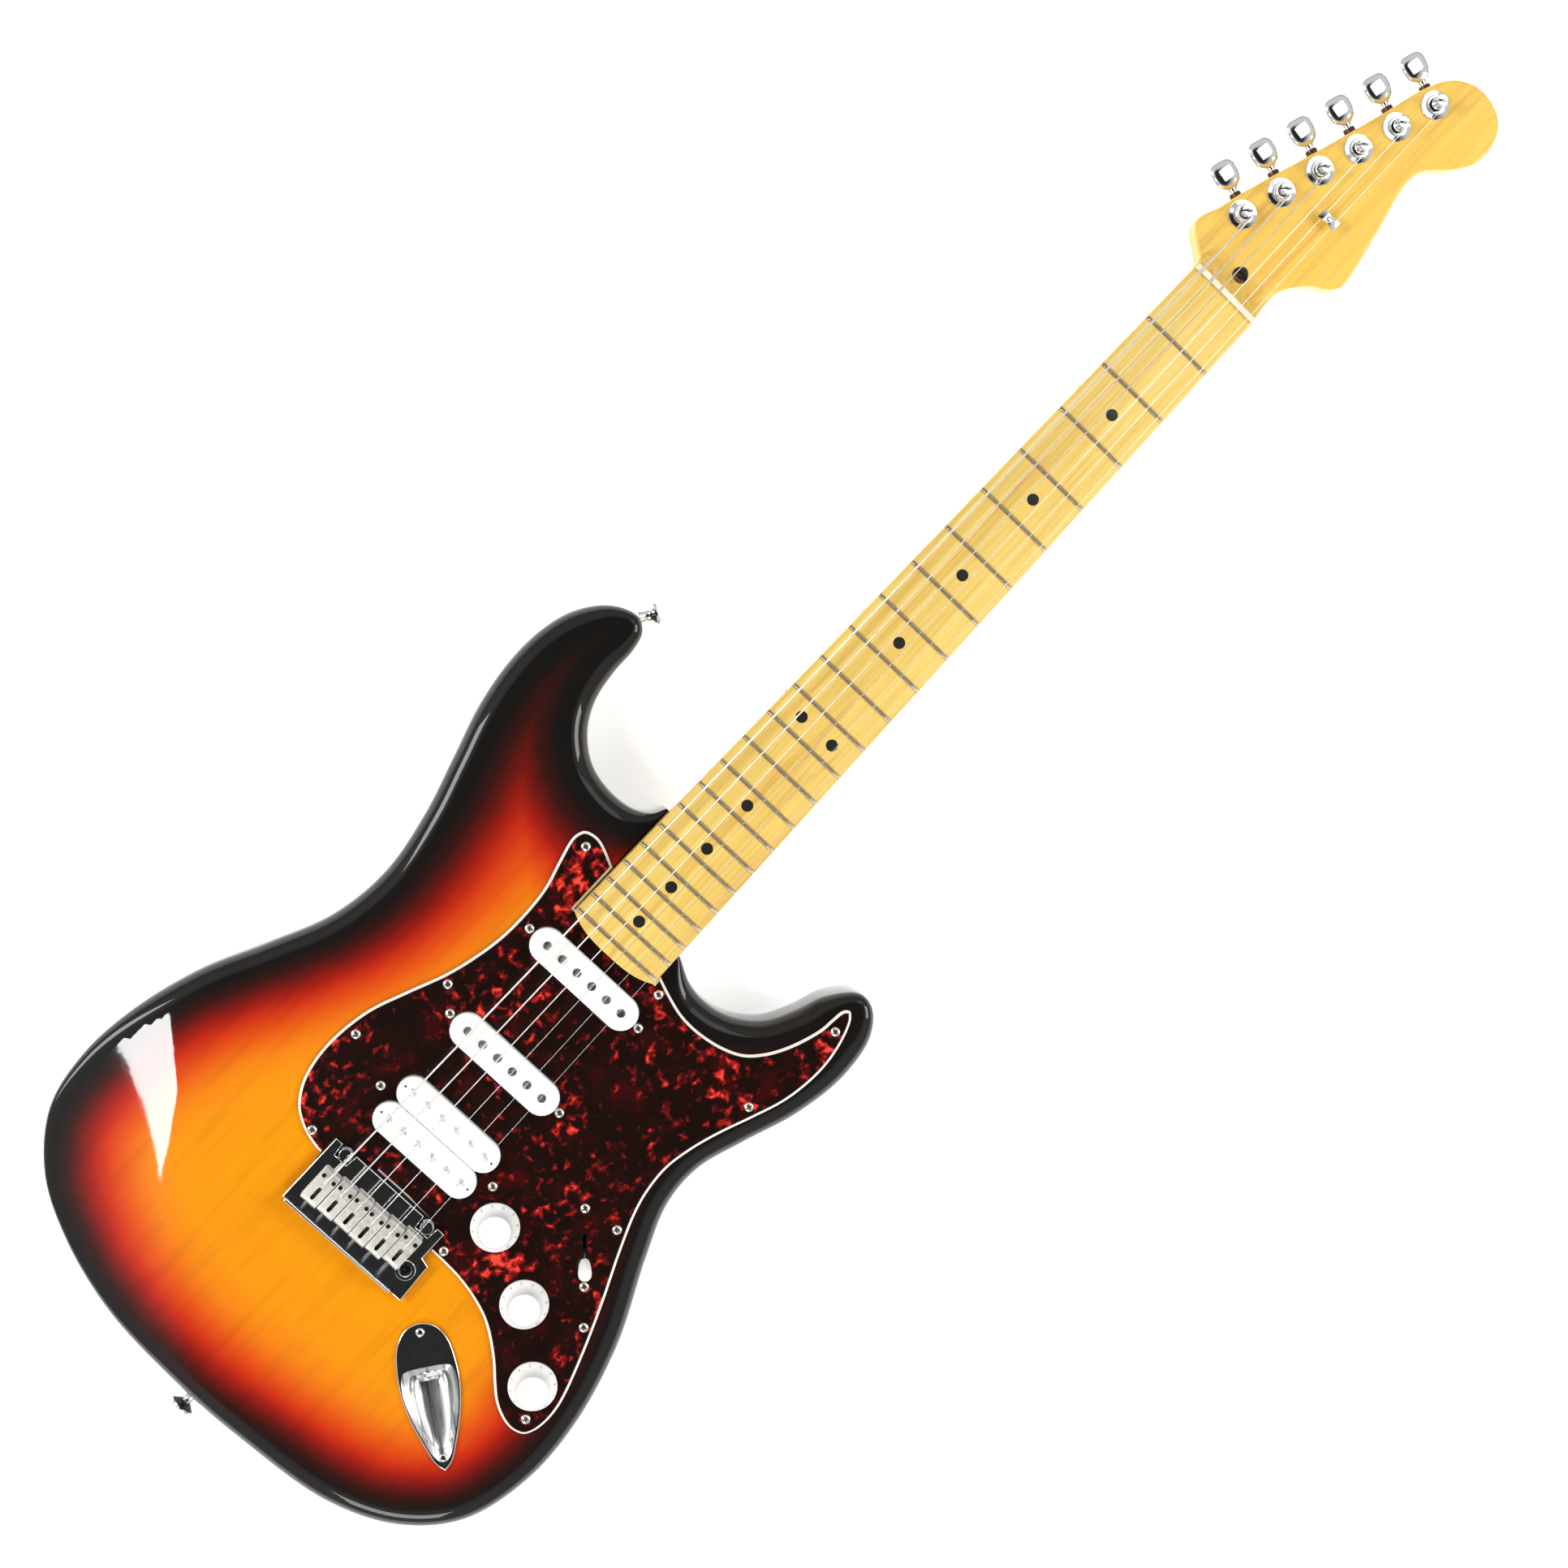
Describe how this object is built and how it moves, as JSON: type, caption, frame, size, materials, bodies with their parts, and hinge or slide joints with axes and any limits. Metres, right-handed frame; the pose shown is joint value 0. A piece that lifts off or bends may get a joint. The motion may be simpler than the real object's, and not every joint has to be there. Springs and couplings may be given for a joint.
{
  "type": "electric guitar",
  "caption": "Solid-body electric guitar with a double-cutaway sunburst body, bolt-on maple neck, tremolo bridge, single-coil and humbucking pickups and in-line tuners.",
  "frame": {"origin": "on the back cover's outer face, on the centreline, under the scale line at the bridge", "axes": "+X along the neck to the headstock, +Y to the bass side, +Z out of the body's face; the guitar lies on its back on Z = 0"},
  "size_m": [0.9817, 0.3234, 0.0642],
  "materials": {
    "sunburst_body": "gloss three-colour sunburst",
    "maple_neck": "satin amber",
    "walnut": "satin",
    "fret_wire": "polished nickel silver",
    "bone_nut": "satin",
    "tortoise_pickguard": "gloss, red flecks, white core",
    "white_plastic": "satin gloss",
    "back_plastic": "satin gloss",
    "pole_steel": "brushed",
    "chrome": "polished",
    "plain_steel": "plain",
    "satin_saddle": "satin",
    "string_wire": "drawn and wound wire"
  },
  "bodies": {
    "body_and_neck": {"body": "sunburst_body", "neck": "maple_neck", "frets": "fret_wire", "skunk_stripe": "walnut", "nut": "bone_nut", "truss_rod": "plain_steel", "truss_rod_plug": "walnut", "string_tree": "chrome", "pickguard": "tortoise_pickguard", "neck_pickup_cover": "white_plastic", "neck_pickup_coil": "pole_steel", "middle_pickup_cover": "white_plastic", "middle_pickup_coil": "pole_steel", "humbucker": "white_plastic", "control_pots": "plain_steel", "switch_frame": "plain_steel", "pivot_stud_bass": "chrome", "pivot_stud_treble": "chrome", "spring_claw": "plain_steel", "tremolo_spring_1": "plain_steel", "tremolo_spring_2": "plain_steel", "tremolo_spring_3": "plain_steel", "back_cover": "back_plastic", "neck_plate": "chrome", "jack_plate": "chrome", "output_jack": "plain_steel", "strap_button_lower": "chrome", "strap_button_upper": "chrome", "tuner_housings": "chrome", "string_1": "string_wire", "string_2": "string_wire", "string_3": "string_wire", "string_4": "string_wire", "string_5": "string_wire", "string_6": "string_wire"},
    "tremolo": {"bridge_plate": "chrome", "inertia_block": "plain_steel"},
    "saddle_1": {"saddle_1": "satin_saddle"},
    "saddle_2": {"saddle_2": "satin_saddle"},
    "saddle_3": {"saddle_3": "satin_saddle"},
    "saddle_4": {"saddle_4": "satin_saddle"},
    "saddle_5": {"saddle_5": "satin_saddle"},
    "saddle_6": {"saddle_6": "satin_saddle"},
    "volume_control": {"volume_knob": "white_plastic"},
    "tone_control_1": {"tone_knob_1": "white_plastic"},
    "tone_control_2": {"tone_knob_2": "white_plastic"},
    "selector": {"switch_lever": "plain_steel", "switch_tip": "white_plastic"},
    "tuner_key_1": {"tuner_key_1": "chrome"},
    "tuner_key_2": {"tuner_key_2": "chrome"},
    "tuner_key_3": {"tuner_key_3": "chrome"},
    "tuner_key_4": {"tuner_key_4": "chrome"},
    "tuner_key_5": {"tuner_key_5": "chrome"},
    "tuner_key_6": {"tuner_key_6": "chrome"},
    "tuner_post_1": {"tuner_post_1": "chrome"},
    "tuner_post_2": {"tuner_post_2": "chrome"},
    "tuner_post_3": {"tuner_post_3": "chrome"},
    "tuner_post_4": {"tuner_post_4": "chrome"},
    "tuner_post_5": {"tuner_post_5": "chrome"},
    "tuner_post_6": {"tuner_post_6": "chrome"}
  },
  "joints": [
    {"name": "tremolo_tilt", "type": "hinge", "parent": "body_and_neck", "child": "tremolo", "pos_m": [0.008, 0, 0.0507], "axis": [0, 1, 0], "range_deg": [-2.5, 10], "stiffness_Nm_per_rad": 20, "deforming": ["string_1", "string_2", "string_3", "string_4", "string_5", "string_6", "tremolo_spring_1", "tremolo_spring_2", "tremolo_spring_3"]},
    {"name": "saddle_1_slide", "type": "slide", "parent": "tremolo", "child": "saddle_1", "axis": [1, 0, 0], "range_m": [-0.002, 0.002], "deforming": ["string_1"]},
    {"name": "saddle_2_slide", "type": "slide", "parent": "tremolo", "child": "saddle_2", "axis": [1, 0, 0], "range_m": [-0.002, 0.002], "deforming": ["string_2"]},
    {"name": "saddle_3_slide", "type": "slide", "parent": "tremolo", "child": "saddle_3", "axis": [1, 0, 0], "range_m": [-0.002, 0.002], "deforming": ["string_3"]},
    {"name": "saddle_4_slide", "type": "slide", "parent": "tremolo", "child": "saddle_4", "axis": [1, 0, 0], "range_m": [-0.002, 0.002], "deforming": ["string_4"]},
    {"name": "saddle_5_slide", "type": "slide", "parent": "tremolo", "child": "saddle_5", "axis": [1, 0, 0], "range_m": [-0.002, 0.002], "deforming": ["string_5"]},
    {"name": "saddle_6_slide", "type": "slide", "parent": "tremolo", "child": "saddle_6", "axis": [1, 0, 0], "range_m": [-0.002, 0.002], "deforming": ["string_6"]},
    {"name": "volume_turn", "type": "hinge", "parent": "body_and_neck", "child": "volume_control", "pos_m": [0.031, -0.0547, 0.0517], "axis": [0, 0, 1], "range_deg": [-150, 150]},
    {"name": "tone_1_turn", "type": "hinge", "parent": "body_and_neck", "child": "tone_control_1", "pos_m": [0.0115, -0.0935, 0.0517], "axis": [0, 0, 1], "range_deg": [-150, 150]},
    {"name": "tone_2_turn", "type": "hinge", "parent": "body_and_neck", "child": "tone_control_2", "pos_m": [-0.0172, -0.1262, 0.0517], "axis": [0, 0, 1], "range_deg": [-150, 150]},
    {"name": "selector_lever", "type": "hinge", "parent": "body_and_neck", "child": "selector", "pos_m": [0.0541, -0.0967, 0.0407], "axis": [-0.6728, 0.7398, 0], "range_deg": [0, 62]},
    {"name": "tuner_key_1_turn", "type": "hinge", "parent": "body_and_neck", "child": "tuner_key_1", "pos_m": [0.69801, 0.01837, 0.0251], "axis": [0.2922, 0.9564, 0], "continuous": true},
    {"name": "tuner_key_2_turn", "type": "hinge", "parent": "body_and_neck", "child": "tuner_key_2", "pos_m": [0.72115, 0.0113, 0.0251], "axis": [0.2922, 0.9564, 0], "continuous": true},
    {"name": "tuner_key_3_turn", "type": "hinge", "parent": "body_and_neck", "child": "tuner_key_3", "pos_m": [0.7443, 0.00423, 0.0251], "axis": [0.2922, 0.9564, 0], "continuous": true},
    {"name": "tuner_key_4_turn", "type": "hinge", "parent": "body_and_neck", "child": "tuner_key_4", "pos_m": [0.76744, -0.00284, 0.0251], "axis": [0.2922, 0.9564, 0], "continuous": true},
    {"name": "tuner_key_5_turn", "type": "hinge", "parent": "body_and_neck", "child": "tuner_key_5", "pos_m": [0.79058, -0.00991, 0.0251], "axis": [0.2922, 0.9564, 0], "continuous": true},
    {"name": "tuner_key_6_turn", "type": "hinge", "parent": "body_and_neck", "child": "tuner_key_6", "pos_m": [0.81373, -0.01698, 0.0251], "axis": [0.2922, 0.9564, 0], "continuous": true},
    {"name": "tuner_post_1_turn", "type": "hinge", "parent": "body_and_neck", "child": "tuner_post_1", "pos_m": [0.6894, 0.021, 0.0251], "axis": [0, 0, 1], "continuous": true},
    {"name": "tuner_post_2_turn", "type": "hinge", "parent": "body_and_neck", "child": "tuner_post_2", "pos_m": [0.71254, 0.01393, 0.0251], "axis": [0, 0, 1], "continuous": true},
    {"name": "tuner_post_3_turn", "type": "hinge", "parent": "body_and_neck", "child": "tuner_post_3", "pos_m": [0.73569, 0.00686, 0.0251], "axis": [0, 0, 1], "continuous": true},
    {"name": "tuner_post_4_turn", "type": "hinge", "parent": "body_and_neck", "child": "tuner_post_4", "pos_m": [0.75883, -0.00021, 0.0251], "axis": [0, 0, 1], "continuous": true},
    {"name": "tuner_post_5_turn", "type": "hinge", "parent": "body_and_neck", "child": "tuner_post_5", "pos_m": [0.78198, -0.00728, 0.0251], "axis": [0, 0, 1], "continuous": true},
    {"name": "tuner_post_6_turn", "type": "hinge", "parent": "body_and_neck", "child": "tuner_post_6", "pos_m": [0.80512, -0.01435, 0.0251], "axis": [0, 0, 1], "continuous": true}
  ],
  "couplings": [
    {"joint": "tuner_post_1_turn", "follows": "tuner_key_1_turn", "ratio": 0.071429},
    {"joint": "tuner_post_2_turn", "follows": "tuner_key_2_turn", "ratio": 0.071429},
    {"joint": "tuner_post_3_turn", "follows": "tuner_key_3_turn", "ratio": 0.071429},
    {"joint": "tuner_post_4_turn", "follows": "tuner_key_4_turn", "ratio": 0.071429},
    {"joint": "tuner_post_5_turn", "follows": "tuner_key_5_turn", "ratio": 0.071429},
    {"joint": "tuner_post_6_turn", "follows": "tuner_key_6_turn", "ratio": 0.071429}
  ]
}
